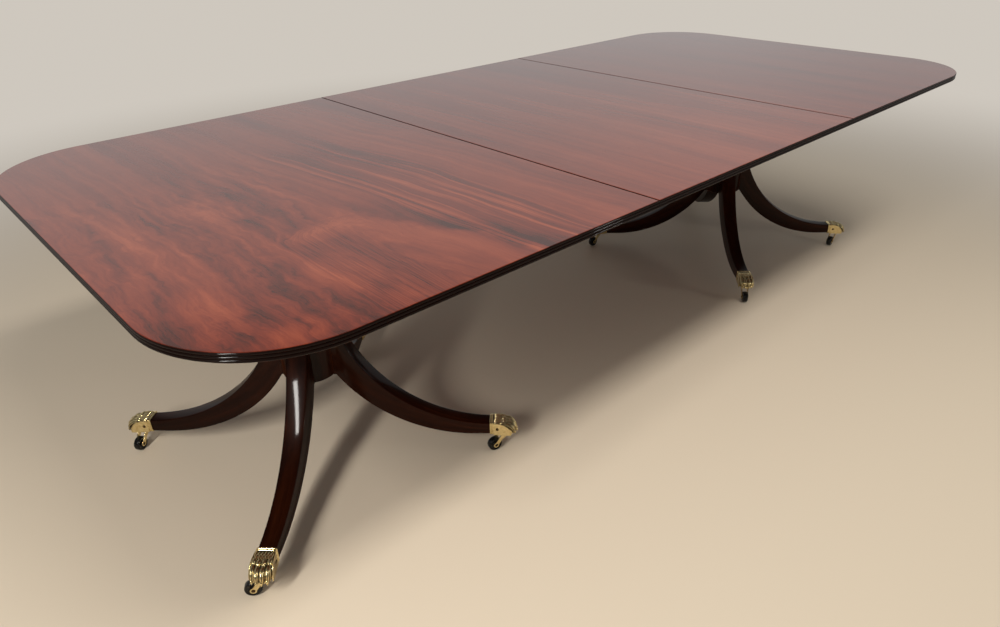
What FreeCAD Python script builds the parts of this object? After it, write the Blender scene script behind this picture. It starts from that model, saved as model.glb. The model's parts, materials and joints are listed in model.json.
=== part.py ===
import FreeCAD, Part
import math
import os
import re
import Sketcher

# Double pedestal dining table: two end tops and a loose leaf, each end on a turned column with four
# splayed legs in brass paw caps on castors. Millimetres, +Z up, +X along the table.
# The origin is on the floor, below the middle of the table.

doc = FreeCAD.newDocument("dining_table")
sheet = doc.addObject("Spreadsheet::Sheet", "sizes")

SIZES = [
    # the whole table
    ("table_length", 2830),
    ("table_width", 1330),
    ("table_height", 740),
    ("leaf_length", 880),
    ("corner_radius", 245),
    ("top_thickness", 18),
    ("reed_count", 3),
    ("seam_gap", 0.6),
    # what carries each end top
    ("pedestal_inset", 472),
    ("bearer_spacing", 300),
    ("bearer_width", 44),
    ("bearer_height", 38),
    ("bearer_length", 1000),
    ("block_width", 260),
    ("block_thickness", 42),
    # the lopers that carry the leaf
    ("loper_width", 40),
    ("loper_height", 24),
    ("loper_offset", 300),
    ("loper_reach", 235),
    ("loper_stop_length", 25),
    ("loper_stop_drop", 10),
    ("sliding_gap", 0.3),
    # dowels between the leaf and the ends
    ("dowel_radius", 5),
    ("dowel_length", 40),
    ("dowel_offset", 420),
    ("dowel_gap", 0.3),
    # the column
    ("drum_radius", 70),
    ("drum_bottom", 244),
    ("drum_edge", 6),
    ("ring_radius", 56),
    ("ring_height", 22),
    ("waist_radius", 38),
    ("waist_height", 450),
    ("shaft_swell", 5),
    ("collar_radius", 54),
    ("collar_height", 26),
    ("tenon_radius", 26),
    # the legs
    ("leg_height", 54),
    ("leg_foot_depth", 34),
    ("leg_foot_width", 38),
    ("leg_column_width", 51),
    ("leg_top", 370),
    ("leg_ledge", 16),
    ("leg_reach", 454),
    ("lower_bend", 414),
    ("upper_bend", 466),
    ("dovetail_neck", 22),
    ("dovetail_tail", 32),
    ("dovetail_depth", 24),
    ("joint_gap", 0.1),
    # the brass paw caps
    ("cap_wall", 2.5),
    ("socket_depth", 28),
    ("cap_length", 74),
    ("paw_width", 52),
    ("band_width", 3.5),
    ("band_pitch", 5),
    ("band_proud", 1.2),
    ("toe_count", 4),
    ("knuckle_radius", 10),
    ("toe_radius", 9),
    # the castors
    ("stem_setback", 36),
    ("stem_radius", 5),
    ("stem_length", 16),
    ("crown_radius", 14),
    ("crown_thickness", 4),
    ("castor_trail", 28),
    ("wheel_radius", 19),
    ("wheel_width", 16),
    ("wheel_edge", 2.5),
    ("hub_radius", 7),
    ("hub_gap", 0.3),
    ("wheel_side_gap", 1),
    ("cheek_thickness", 2.5),
    ("cheek_end_radius", 6.5),
    ("axle_radius", 2.5),
    ("axle_head_radius", 4.5),
    ("axle_head_height", 1.2),
    ("running_gap", 0.05),
    # the screws
    ("screw_radius", 2.2),
    ("screw_head_radius", 4.4),
    ("screw_head_height", 2.6),
    ("bearer_screw_length", 46),
    ("bearer_screw_bite", 12),
    ("bearer_screw_outer", 420),
    ("bearer_screw_inner", 150),
    ("block_screw_bite", 22),
    ("block_screw_offset", 94),
    ("cap_screw_length", 14),
    ("cap_screw_setback", 20),
    ("screw_gap", 0.05),
]

for row, (alias, value) in enumerate(SIZES, start=1):
    sheet.set("A%d" % row, alias)
    sheet.set("B%d" % row, str(value))
    sheet.setAlias("B%d" % row, alias)
doc.recompute()

ALIASES = {alias for alias, value in SIZES}
PIECES = []
POCKETS = []


def formula(text):
    """The formula with each named size read from the sheet."""
    return re.sub(r"[a-z_]+", lambda word: "sizes." + word[0] if word[0] in ALIASES else word[0], str(text))


def number(text):
    """The formula's value now."""
    return float(sheet.evalExpression(formula(text)))


def bind(piece, **formulas):
    """Ties properties of a piece to formulas."""
    for name, text in formulas.items():
        piece.setExpression(name, formula(text))


def place(piece, x=0, y=0, z=0, turn=0.0):
    """Ties a piece's place to formulas and turns it about the upright by so many degrees."""
    piece.Placement.Rotation = FreeCAD.Rotation(FreeCAD.Vector(0, 0, 1), turn)
    for axis, text in (("x", x), ("y", y), ("z", z)):
        piece.setExpression("Placement.Base." + axis, formula(text))


def finished(piece, label):
    """Names a finished piece of the table."""
    piece.Label = label
    PIECES.append(piece)
    return piece


def body(name):
    return doc.addObject("PartDesign::Body", name)


def plane(owner, role):
    return [part for part in owner.Origin.OriginFeatures if part.Role == role][0]


def sketch_on(owner, role, offset=0):
    """An empty sketch on one of the body's own planes, lifted off it by a formula."""
    sketch = owner.newObject("Sketcher::SketchObject", owner.Name + "_sketch")
    sketch.AttachmentSupport = [(plane(owner, role), "")]
    sketch.MapMode = "FlatFace"
    sketch.setExpression("AttachmentOffset.Base.z", formula(offset))
    return sketch


def outline(sketch, corners, closed=True):
    """Draws a line through corners (x, y, bulge), where each x and y is a formula.

    A bulge other than 0 makes the stretch that starts at that corner an arc: the formula is the arc's
    height over its chord, to the right of the way it is drawn.
    """
    points = [FreeCAD.Vector(number(x), number(y), 0) for x, y, bulge in corners]
    count = len(corners) if closed else len(corners) - 1
    for index in range(count):
        start = points[index]
        end = points[(index + 1) % len(points)]
        rise = number(corners[index][2])
        if rise == 0:
            sketch.addGeometry(Part.LineSegment(start, end))
        else:
            chord = end - start
            right = FreeCAD.Vector(chord.y, -chord.x, 0).normalize()
            crest = (start + end) / 2 + right * rise
            sketch.addGeometry(Part.ArcOfCircle(start, crest, end))
    for index in range(count):
        first = index_ends(sketch, index, points[index])
        for kind, text in (("DistanceX", corners[index][0]), ("DistanceY", corners[index][1])):
            pin(sketch, kind, index, first, text)
        follows = (index + 1) % len(points)
        last = 3 - first
        if follows < count:
            sketch.addConstraint(Sketcher.Constraint("Coincident", index, last,
                                                     follows, index_ends(sketch, follows, points[follows])))
        else:
            pin(sketch, "DistanceX", index, last, corners[follows][0])
            pin(sketch, "DistanceY", index, last, corners[follows][1])
        if number(corners[index][2]) != 0:
            kind, text = arc_centre(corners[index], corners[follows])
            pin(sketch, kind, index, 3, text)
    return sketch


def arc_centre(start, end):
    """The centre of an arc with this start, end and rise: the coordinate that runs across its chord."""
    x1, y1, rise = start
    x2, y2 = end[:2]
    across = "((%s) - (%s))" % (x2, x1)
    along = "((%s) - (%s))" % (y2, y1)
    chord = "sqrt(%s ^ 2 + %s ^ 2)" % (across, along)
    set_off = "(((%s) ^ 2 - %s ^ 2 / 4) / (2 * (%s)) / %s)" % (rise, chord, rise, chord)
    if abs(number(along)) > abs(number(across)):
        return "DistanceX", "((%s) + (%s)) / 2 + %s * %s" % (x1, x2, along, set_off)
    return "DistanceY", "((%s) + (%s)) / 2 - %s * %s" % (y1, y2, across, set_off)


def index_ends(sketch, index, point):
    """1 or 2: which end of this stretch of a sketch is at the point."""
    near = sketch.getPoint(index, 1).distanceToPoint(point)
    return 1 if near < sketch.getPoint(index, 2).distanceToPoint(point) else 2


def pin(sketch, kind, index, end, text):
    tie = sketch.addConstraint(Sketcher.Constraint(kind, -1, 1, index, end, number(text)))
    sketch.setExpression("Constraints[%d]" % tie, formula(text))


def circles(sketch, centres, radius):
    """Draws circles of one radius at centres (x, y)."""
    for index, (x, y) in enumerate(centres):
        centre = FreeCAD.Vector(number(x), number(y), 0)
        sketch.addGeometry(Part.Circle(centre, FreeCAD.Vector(0, 0, 1), number(radius)))
        pin(sketch, "DistanceX", index, 3, x)
        pin(sketch, "DistanceY", index, 3, y)
        tie = sketch.addConstraint(Sketcher.Constraint("Radius", index, number(radius)))
        sketch.setExpression("Constraints[%d]" % tie, formula(radius))
    return sketch


def pad(owner, sketch, length, both_ways=False, back=False):
    """Thickens a sketch: forwards, backwards, or half each way."""
    feature = owner.newObject("PartDesign::Pad", owner.Name + "_pad")
    feature.Profile = sketch
    feature.SideType = "Symmetric" if both_ways else "One side"
    feature.Reversed = back
    bind(feature, Length=length)
    return feature


def pocket(owner, sketch, length=None, back=False):
    """Cuts a sketch into the body: so far, or right through both ways."""
    feature = owner.newObject("PartDesign::Pocket", owner.Name + "_pocket")
    feature.Profile = sketch
    if length is None:
        feature.Type = "ThroughAll"
        feature.SideType = "Symmetric"
    else:
        feature.Reversed = back
        bind(feature, Length=length)
        POCKETS.append(feature)
    return feature


def revolve(owner, sketch, role):
    """Turns a sketch once round one of the body's axes."""
    feature = owner.newObject("PartDesign::Revolution", owner.Name + "_turned")
    feature.Profile = sketch
    feature.ReferenceAxis = (plane(owner, role), [""])
    feature.Angle = 360
    return feature


def box(name, length, width, height, x=0, y=0, z=0):
    """A block whose lowest corner is at x, y, z."""
    piece = doc.addObject("Part::Box", name)
    bind(piece, Length=length, Width=width, Height=height)
    place(piece, x, y, z)
    return piece


ALONG = {"x": (FreeCAD.Vector(0, 1, 0), 90), "y": (FreeCAD.Vector(1, 0, 0), -90),
         "z": (FreeCAD.Vector(0, 0, 1), 0), "-y": (FreeCAD.Vector(1, 0, 0), 90)}


def rod(name, radius, length, x=0, y=0, z=0, along="z"):
    """A cylinder that starts at x, y, z and runs along an axis."""
    piece = doc.addObject("Part::Cylinder", name)
    bind(piece, Radius=radius, Height=length)
    place(piece, x, y, z)
    piece.Placement.Rotation = FreeCAD.Rotation(*ALONG[along])
    return piece


def ball(name, radius, x, y, z):
    piece = doc.addObject("Part::Sphere", name)
    bind(piece, Radius=radius)
    place(piece, x, y, z)
    return piece


def taper(name, radius, end_radius, length, x=0, y=0, z=0, along="z"):
    """A cone that starts at x, y, z and runs along an axis."""
    piece = doc.addObject("Part::Cone", name)
    bind(piece, Radius1=radius, Radius2=end_radius, Height=length)
    place(piece, x, y, z)
    piece.Placement.Rotation = FreeCAD.Rotation(*ALONG[along])
    return piece


def fused(name, pieces):
    piece = doc.addObject("Part::MultiFuse", name)
    piece.Shapes = pieces
    piece.Refine = True
    return piece


def gathered(name, pieces):
    """Several separate solids as one piece."""
    piece = doc.addObject("Part::Compound", name)
    piece.Links = pieces
    return piece


def cut(name, base, tools):
    """The base with every tool cut out of it."""
    piece = doc.addObject("Part::Cut", name)
    piece.Base = base
    piece.Tool = tools[0] if len(tools) == 1 else gathered(name + "_tools", tools)
    return piece


# Places that several pieces share.
SEAM = "(leaf_length / 2)"
UNDERSIDE = "(table_height - top_thickness)"
BEARER_BOTTOM = "(%s - bearer_height)" % UNDERSIDE
BLOCK_BOTTOM = "(%s - block_thickness)" % BEARER_BOTTOM
PEDESTAL = "(table_length / 2 - pedestal_inset)"
REED = "(top_thickness / reed_count / 2)"
DOWEL_HEIGHT = "(%s + top_thickness / 2)" % UNDERSIDE
ENDS = {"left": -1, "right": 1}
CORNERS = (("front", -1), ("back", 1))
DEPTHS = (("outer", 1), ("inner", -1))

# The way each castor trails behind its stem as the table was left standing, in degrees from +X.
CASTOR_TURNS = {
    "left_front_outer": 150, "left_front_inner": 165, "left_back_outer": 215, "left_back_inner": 185,
    "right_front_outer": 185, "right_front_inner": 222, "right_back_outer": 170, "right_back_inner": 178,
}


def reeds(side):
    """The reeded edge in section, from the underside up: one half round above another."""
    edge = "(%s * (table_width / 2 - %s))" % (side, REED)
    rows = []
    for step in range(int(number("reed_count"))):
        rows.append((edge, "%s + %d * 2 * %s" % (UNDERSIDE, step, REED), REED))
    return rows, edge


def screw(name, length, x, y, z, along="z", gap="0"):
    """A countersunk screw whose head's face is at x, y, z, or with a gap the hole that it fits."""
    head = taper(name + "_head", "screw_head_radius + " + gap, "screw_radius + " + gap, "screw_head_height",
                 x, y, z, along)
    shank = rod(name + "_shank", "screw_radius + " + gap, "%s + %s" % (length, gap), x, y, z, along)
    return fused(name, [head, shank])


def bearer_screw_places(side, rows=(-1, 1)):
    """Where the screws that run up through the bearers into the top have their heads."""
    z = "(%s + bearer_screw_bite - bearer_screw_length)" % UNDERSIDE
    return [("%d * %s + %d * bearer_spacing / 2" % (side, PEDESTAL, row), "%d * %s" % (hand, offset), z)
            for row in rows for hand in (-1, 1) for offset in ("bearer_screw_outer", "bearer_screw_inner")]


def block_screw_places(side, rows=(-1, 1)):
    """Where the screws that run up through the block into the bearers have their heads."""
    z = "(%s + block_screw_bite - bearer_screw_length)" % BEARER_BOTTOM
    return [("%d * %s + %d * bearer_spacing / 2" % (side, PEDESTAL, row), "%d * block_screw_offset" % hand, z)
            for row in rows for hand in (-1, 1)]


def screws(name, places):
    return [screw("%s_%d" % (name, index), "bearer_screw_length", x, y, z)
            for index, (x, y, z) in enumerate(places)]


def screw_holes(name, places, floor=None):
    """The holes for screws at these places, with a well under each sunk head down to a floor."""
    holes = []
    for index, (x, y, z) in enumerate(places):
        holes.append(screw("%s_%d" % (name, index), "bearer_screw_length", x, y, z, gap="screw_gap"))
        if floor:
            holes.append(rod("%s_well_%d" % (name, index), "screw_head_radius + screw_gap",
                             "%s - %s" % (z, floor), x, y, floor))
    return holes


def dowels(name, side, gap="0"):
    """Three dowels across one joint between the leaf and an end."""
    pegs = []
    for index, step in enumerate((-1, 0, 1)):
        x = "%d * %s - dowel_length / 2 - %s" % (side, SEAM, gap)
        pegs.append(rod("%s_%d" % (name, index), "dowel_radius + " + gap, "dowel_length + 2 * " + gap,
                        x, "%d * dowel_offset" % step, DOWEL_HEIGHT, along="x"))
    return pegs


# The leaf: a plain board, reeded on its two long sides, with a dowel hole at each dowel.
leaf_board = body("leaf_board")
front, front_edge = reeds("-1")
back, back_edge = reeds("1")
leaf_section = back + [(back_edge, "table_height", "0")]
for x, z, rise in reversed(front):
    leaf_section.append((x, "%s + 2 * %s" % (z, REED), rise))
leaf_section.append((front_edge, UNDERSIDE, "0"))
leaf_sketch = outline(sketch_on(leaf_board, "YZ_Plane"), leaf_section)
pad(leaf_board, leaf_sketch, "leaf_length - seam_gap", both_ways=True)
leaf_holes = dowels("leaf_hole_left", -1, "joint_gap") + dowels("leaf_hole_right", 1, "joint_gap")
leaf = cut("leaf", leaf_board, leaf_holes)
finished(leaf, "leaf")
leaf_dowels = gathered("leaf_dowels", dowels("dowel_left", -1) + dowels("dowel_right", 1))
finished(leaf_dowels, "leaf_dowels")


def end_top(end, side):
    """An end top: a board with two rounded corners, and its reeds run round three sides."""
    board = body(end + "_board")
    half = "(table_width / 2 - %s)" % REED
    outer = "(%d * (table_length / 2 - %s))" % (side, REED)
    inner = "(%d * (%s + seam_gap / 2))" % (side, SEAM)
    bend = "(%d * (table_length / 2 - corner_radius))" % side
    turn = "(table_width / 2 - corner_radius)"
    rise = "(%d * (corner_radius - %s) * (1 - sqrt(0.5)))" % (side, REED)
    corners = [
        (inner, "-" + half, "0"),
        (bend, "-" + half, rise),
        (outer, "-" + turn, "0"),
        (outer, turn, rise),
        (bend, half, "0"),
        (inner, half, "0"),
    ]
    slab = outline(sketch_on(board, "XY_Plane", UNDERSIDE), corners)
    pad(board, slab, "top_thickness")
    path = outline(sketch_on(board, "XY_Plane", UNDERSIDE), corners, closed=False)
    rows, edge = reeds("-1")
    root = "(%s + %s)" % (edge, REED)
    section = [(x, "(%s) - %s" % (z, UNDERSIDE), "-" + rise_here) for x, z, rise_here in rows]
    section.append((edge, "top_thickness", "0"))
    section.append((root, "top_thickness", "0"))
    section.append((root, "0", "0"))
    profile = sketch_on(board, "YZ_Plane", inner)
    outline(profile, [(x, "%s + %s" % (z, UNDERSIDE), r) for x, z, r in section])
    moulding = board.newObject("PartDesign::AdditivePipe", board.Name + "_reeds")
    moulding.Profile = profile
    moulding.Spine = path
    holes = dowels(end + "_dowel_hole", side, "dowel_gap")
    holes += screw_holes(end + "_pilot", bearer_screw_places(side))
    return finished(cut(end + "_top", board, holes), end + "_top")


def bearers(end, side):
    """Two bearers across the end top, notched for the lopers and drilled for the screws."""
    for name, row in (("outer_bearer", side), ("inner_bearer", -side)):
        label = "%s_%s" % (end, name)
        x = "%d * %s + %d * bearer_spacing / 2 - bearer_width / 2" % (side, PEDESTAL, row)
        bar = box(label + "_bar", "bearer_width", "bearer_length", "bearer_height",
                  x, "-bearer_length / 2", BEARER_BOTTOM)
        holes = []
        for hand in (-1, 1):
            y = "%d * loper_offset - loper_width / 2 - sliding_gap" % hand
            holes.append(box("%s_notch_%d" % (label, hand + 1), "bearer_width", "loper_width + 2 * sliding_gap",
                             "loper_height + 2 * sliding_gap", x, y,
                             "%s - loper_height - 2 * sliding_gap" % UNDERSIDE))
        holes += screw_holes(label + "_hole", bearer_screw_places(side, (row,)), BEARER_BOTTOM)
        holes += screw_holes(label + "_pilot", block_screw_places(side, (row,)))
        finished(cut(label, bar, holes), label)


def block(end, side):
    """The block under the bearers, bored for the column's tenon."""
    label = end + "_block"
    solid = box(label + "_solid", "bearer_spacing + bearer_width", "block_width", "block_thickness",
                "%d * %s - bearer_spacing / 2 - bearer_width / 2" % (side, PEDESTAL), "-block_width / 2",
                BLOCK_BOTTOM)
    bore = rod(label + "_bore", "tenon_radius + joint_gap", "block_thickness",
               "%d * %s" % (side, PEDESTAL), "0", BLOCK_BOTTOM)
    holes = screw_holes(label + "_hole", block_screw_places(side), BLOCK_BOTTOM)
    return finished(cut(label, solid, [bore] + holes), label)


def lopers(end, side):
    """Two bars that slide through the bearers, drawn out under the leaf, each with a stop at its tail."""
    tail = "(%s + bearer_spacing / 2 + bearer_width / 2 + sliding_gap)" % PEDESTAL
    tip = "(%s - loper_reach)" % SEAM
    for name, hand in CORNERS:
        label = "%s_%s_loper" % (end, name)
        z = "%s - sliding_gap - loper_height" % UNDERSIDE
        y = "%d * loper_offset - loper_width / 2" % hand
        length = "(%s + loper_stop_length - %s)" % (tail, tip)
        x = tip if side > 0 else "-(%s) - %s" % (tip, length)
        bar = box(label + "_bar", length, "loper_width", "loper_height", x, y, z)
        stop_x = tail if side > 0 else "-%s - loper_stop_length" % tail
        stop = box(label + "_stop", "loper_stop_length", "loper_width", "loper_stop_drop",
                   stop_x, y, "%s - loper_stop_drop" % z)
        finished(fused(label, [bar, stop]), label)


def column(end, side):
    """The turned column: a drum that takes the legs, a ring, a baluster shaft, a collar and a tenon."""
    label = end + "_column"
    turned = body(label + "_turned")
    drum_top = "(leg_top + drum_edge)"
    ring_top = "(%s + ring_height)" % drum_top
    collar_bottom = "(%s - collar_height)" % BLOCK_BOTTOM
    section = [
        ("0", "drum_bottom", "0"),
        ("drum_radius - drum_edge", "drum_bottom", "drum_edge * (1 - sqrt(0.5))"),
        ("drum_radius", "drum_bottom + drum_edge", "0"),
        ("drum_radius", "leg_top", "drum_edge * (1 - sqrt(0.5))"),
        ("drum_radius - drum_edge", drum_top, "0"),
        ("ring_radius", drum_top, "ring_height / 2"),
        ("ring_radius", ring_top, "0"),
        ("ring_radius - drum_edge", ring_top, "-(waist_height - %s) / 6" % ring_top),
        ("waist_radius", "waist_height", "shaft_swell"),
        ("collar_radius - 2 * drum_edge", collar_bottom, "0"),
        ("collar_radius", collar_bottom, "collar_height / 4"),
        ("collar_radius", BLOCK_BOTTOM, "0"),
        ("tenon_radius", BLOCK_BOTTOM, "0"),
        ("tenon_radius", BEARER_BOTTOM, "0"),
        ("0", BEARER_BOTTOM, "0"),
    ]
    revolve(turned, outline(sketch_on(turned, "XZ_Plane"), section), "Z_Axis")
    for quarter in range(4):
        angle = 90 * quarter + 45
        socket = sketch_on(turned, "XY_Plane", "drum_bottom")
        socket.AttachmentOffset.Rotation = FreeCAD.Rotation(FreeCAD.Vector(0, 0, 1), angle)
        outline(socket, dovetail("joint_gap"))
        pocket(turned, socket, "leg_top - drum_bottom + joint_gap", back=True)
    place(turned, "%d * %s" % (side, PEDESTAL))
    return finished(turned, label)


def dovetail(gap):
    """The dovetail in plan: wide at its tail in the column, narrow where it leaves the drum."""
    root = "(drum_radius - dovetail_depth - %s)" % gap
    mouth = "(drum_radius + joint_gap + %s)" % gap
    tail = "(dovetail_tail / 2 + %s)" % gap
    neck = "(dovetail_neck / 2 + %s)" % gap
    return [(root, "-" + tail, "0"), (mouth, "-" + neck, "0"), (mouth, neck, "0"), (root, tail, "0")]


def leg(label, side, angle):
    """A splayed leg: sawn to its curve, tapered, trimmed to its cap, hollowed to the drum and dovetailed."""
    stock = body(label + "_stock")
    heart = "(drum_radius - drum_edge)"
    end = "(leg_reach + socket_depth - joint_gap)"
    foot_top = "(leg_height + leg_foot_depth)"
    lower_rise = arc_rise("(lower_bend - drum_radius)", "(drum_bottom - leg_height)")
    upper_rise = arc_rise("(upper_bend - drum_radius - leg_ledge)", "(leg_top - %s)" % foot_top)
    side_view = [
        (end, "leg_height", "0"),
        ("lower_bend", "leg_height", "-" + lower_rise),
        ("drum_radius", "drum_bottom", "0"),
        (heart, "drum_bottom", "0"),
        (heart, "leg_top", "0"),
        ("drum_radius + leg_ledge", "leg_top", upper_rise),
        ("upper_bend", foot_top, "0"),
        (end, foot_top, "0"),
    ]
    pad(stock, outline(sketch_on(stock, "XZ_Plane"), side_view), "leg_column_width", both_ways=True)
    for hand in ("-1", "1"):
        outside = "(%s * (leg_column_width / 2 + leg_foot_width))" % hand
        waste = [
            ("drum_radius", "%s * leg_column_width / 2" % hand, "0"),
            ("leg_reach", "%s * leg_foot_width / 2" % hand, "0"),
            (end + " + leg_ledge", "%s * leg_foot_width / 2" % hand, "0"),
            (end + " + leg_ledge", outside, "0"),
            ("drum_radius", outside, "0"),
        ]
        pocket(stock, outline(sketch_on(stock, "XY_Plane"), waste))
    shoulder = [
        ("leg_reach", foot_top, "0"),
        (end + " + leg_ledge", foot_top, "0"),
        (end + " + leg_ledge", "leg_top", "0"),
        ("leg_reach", "leg_top", "0"),
    ]
    pocket(stock, outline(sketch_on(stock, "XZ_Plane"), shoulder))
    pocket(stock, circles(sketch_on(stock, "XY_Plane"), [("0", "0")], "drum_radius + joint_gap"))
    tongue = outline(sketch_on(stock, "XY_Plane", "drum_bottom"), tongue_plan())
    pad(stock, tongue, "leg_top - drum_bottom")
    place(stock, "%d * %s" % (side, PEDESTAL), turn=angle)
    pilots = [cap_screw("%s_pilot_%d" % (label, hand + 1), side, angle, hand, "screw_gap") for hand in (-1, 1)]
    return finished(cut(label, stock, pilots), label)


def tongue_plan():
    """The leg's dovetail, carried on into the leg behind the drum's face."""
    plan = dovetail("0")
    into = "(drum_radius + leg_ledge)"
    return [plan[0], plan[1], (into, "-dovetail_neck / 2", "0"), (into, "dovetail_neck / 2", "0"),
            plan[2], plan[3]]


def arc_rise(run, climb):
    """How far an arc that starts level and climbs over a run stands off its chord."""
    radius = "((%s ^ 2 + %s ^ 2) / (2 * %s))" % (run, climb, climb)
    half = "(sqrt(%s ^ 2 + %s ^ 2) / 2)" % (run, climb)
    return "(%s - sqrt(%s ^ 2 - %s ^ 2))" % (radius, radius, half)


def cap_screw(name, side, angle, hand, gap="0"):
    """A screw through one side of a paw cap into the leg."""
    face = "(leg_foot_width / 2 + cap_wall)"
    piece = screw(name, "cap_screw_length", "leg_reach + cap_screw_setback", "%d * -%s" % (hand, face),
                  "leg_height + leg_foot_depth / 2", along="y" if hand > 0 else "-y", gap=gap)
    place(piece, "%d * %s" % (side, PEDESTAL), turn=angle)
    return piece


def paw_cap(label, side, angle):
    """A cast brass cap: a socket for the leg behind two bands, and a paw of four toes in front."""
    outer = "(leg_foot_width / 2 + cap_wall)"
    floor = "(leg_height - cap_wall)"
    roof = "(leg_height + leg_foot_depth + cap_wall)"
    tip = "(leg_reach + cap_length)"
    pieces = [box(label + "_socket", "stem_setback", "2 * %s" % outer, "%s - %s" % (roof, floor),
                  "leg_reach", "-" + outer, floor)]
    for index in range(2):
        pieces.append(box("%s_band_%d" % (label, index), "band_width", "2 * %s + 2 * band_proud" % outer,
                          "%s - %s + band_proud" % (roof, floor), "leg_reach + %d * band_pitch" % index,
                          "-%s - band_proud" % outer, floor))
    heel = "(leg_reach + stem_setback)"
    pieces.append(box(label + "_palm", "stem_radius + knuckle_radius", "paw_width - 2 * toe_radius",
                      "%s - %s - knuckle_radius" % (roof, floor), heel, "-paw_width / 2 + toe_radius", floor))
    toes = int(number("toe_count"))
    for index in range(toes):
        share = index / (toes - 1) - 0.5
        y = "%s * (paw_width - 2 * toe_radius)" % share
        pieces.append(ball("%s_knuckle_%d" % (label, index), "knuckle_radius", heel, y,
                           "%s - knuckle_radius + band_proud" % roof))
        pieces.append(rod("%s_shank_%d" % (label, index), "toe_radius", "%s - toe_radius - %s" % (tip, heel),
                          heel, y, floor + " + toe_radius * 2", along="x"))
        pieces.append(ball("%s_toe_%d" % (label, index), "toe_radius", "%s - toe_radius" % tip, y,
                           floor + " + toe_radius * 2"))
        pieces.append(ball("%s_claw_%d" % (label, index), "toe_radius", "%s - 1.5 * toe_radius" % tip, y,
                           floor + " + toe_radius"))
    solid = fused(label + "_solid", pieces)
    socket = box(label + "_hollow", "socket_depth", "leg_foot_width + 2 * joint_gap",
                 "leg_foot_depth + 2 * joint_gap", "leg_reach", "-leg_foot_width / 2 - joint_gap",
                 "leg_height - joint_gap")
    bore = rod(label + "_bore", "stem_radius + running_gap", "stem_length + crown_thickness",
               heel, "0", floor + " - crown_thickness")
    shaped = cut(label + "_shaped", solid, [socket, bore])
    place(shaped, "%d * %s" % (side, PEDESTAL), turn=angle)
    holes = [cap_screw("%s_hole_%d" % (label, hand + 1), side, angle, hand, "screw_gap") for hand in (-1, 1)]
    return finished(cut(label, shaped, holes), label)


def castor(label, side, angle, turn):
    """A castor: a brass horn that swivels on its stem, with a wheel on an axle pin between its cheeks."""
    heel = "(leg_reach + stem_setback)"
    x = "%d * %s + %s * %s" % (side, PEDESTAL, heel, "cos(%d)" % angle)
    y = "%s * %s" % (heel, "sin(%d)" % angle)
    crown_top = "(leg_height - cap_wall - sliding_gap)"
    inside = "(wheel_width / 2 + wheel_side_gap)"
    outside = "(%s + cheek_thickness)" % inside
    crown_floor = "(%s - crown_thickness)" % crown_top
    cheek_top = "(%s + crown_thickness / 2)" % crown_floor
    cheek_drop = "(%s - wheel_radius)" % cheek_top
    cheek_run = "sqrt(castor_trail ^ 2 + %s ^ 2)" % cheek_drop
    eye_across = "cheek_end_radius * %s / %s" % (cheek_drop, cheek_run)
    eye_up = "cheek_end_radius * castor_trail / %s" % cheek_run
    stem = rod(label + "_stem", "stem_radius", "stem_length + sliding_gap - running_gap", "0", "0", crown_top)
    crown = rod(label + "_crown", "crown_radius", "crown_thickness", "0", "0", crown_floor)
    pieces = [stem, crown]
    for hand in (-1, 1):
        cheek = body("%s_cheek_%d" % (label, hand + 1))
        corners = [
            ("-crown_radius / 2", cheek_top, "0"),
            ("castor_trail - " + eye_across, "wheel_radius - " + eye_up, "cheek_end_radius"),
            ("castor_trail + " + eye_across, "wheel_radius + " + eye_up, "0"),
            ("crown_radius / 2", cheek_top, "0"),
        ]
        face = sketch_on(cheek, "XZ_Plane", "%d * %s" % (hand, inside) if hand < 0 else outside)
        pad(cheek, outline(face, corners), "cheek_thickness", back=True)
        pieces.append(cheek)
    horn_solid = fused(label + "_horn_solid", pieces)
    hole = rod(label + "_axle_hole", "axle_radius + joint_gap", "2 * %s" % outside,
               "castor_trail", "-" + outside, "wheel_radius", along="y")
    horn = cut(label + "_horn", horn_solid, [hole])
    shank = rod(label + "_axle_shank", "axle_radius", "2 * %s" % outside,
                "castor_trail", "-" + outside, "wheel_radius", along="y")
    heads = [rod("%s_axle_head_%d" % (label, index), "axle_head_radius", "axle_head_height", "castor_trail", y_head,
                 "wheel_radius", along="y")
             for index, y_head in enumerate(("-%s - axle_head_height" % outside, outside))]
    axle = fused(label + "_axle", [shank] + heads)
    wheel = body(label + "_wheel")
    face = "(wheel_width / 2)"
    hub = "(%s - hub_gap)" % inside
    section = [
        ("axle_radius + running_gap", "-" + hub, "0"),
        ("hub_radius", "-" + hub, "0"),
        ("hub_radius", "-" + face, "0"),
        ("wheel_radius - wheel_edge", "-" + face, "wheel_edge * (1 - sqrt(0.5))"),
        ("wheel_radius", "wheel_edge - " + face, "0"),
        ("wheel_radius", face + " - wheel_edge", "wheel_edge * (1 - sqrt(0.5))"),
        ("wheel_radius - wheel_edge", face, "0"),
        ("hub_radius", face, "0"),
        ("hub_radius", hub, "0"),
        ("axle_radius + running_gap", hub, "0"),
    ]
    revolve(wheel, outline(sketch_on(wheel, "XZ_Plane"), section), "Z_Axis")
    for piece, name in ((horn, "castor_horn"), (axle, "castor_axle")):
        place(piece, x, y, turn=turn)
        finished(piece, "%s_%s" % (label, name))
    place(wheel, "%s + castor_trail * cos(%d)" % (x, turn), "%s + castor_trail * sin(%d)" % (y, turn),
          "wheel_radius")
    wheel.Placement.Rotation = FreeCAD.Rotation(FreeCAD.Vector(0, 0, 1), turn).multiply(
        FreeCAD.Rotation(FreeCAD.Vector(1, 0, 0), 90))
    finished(wheel, label + "_castor_wheel")


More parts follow.
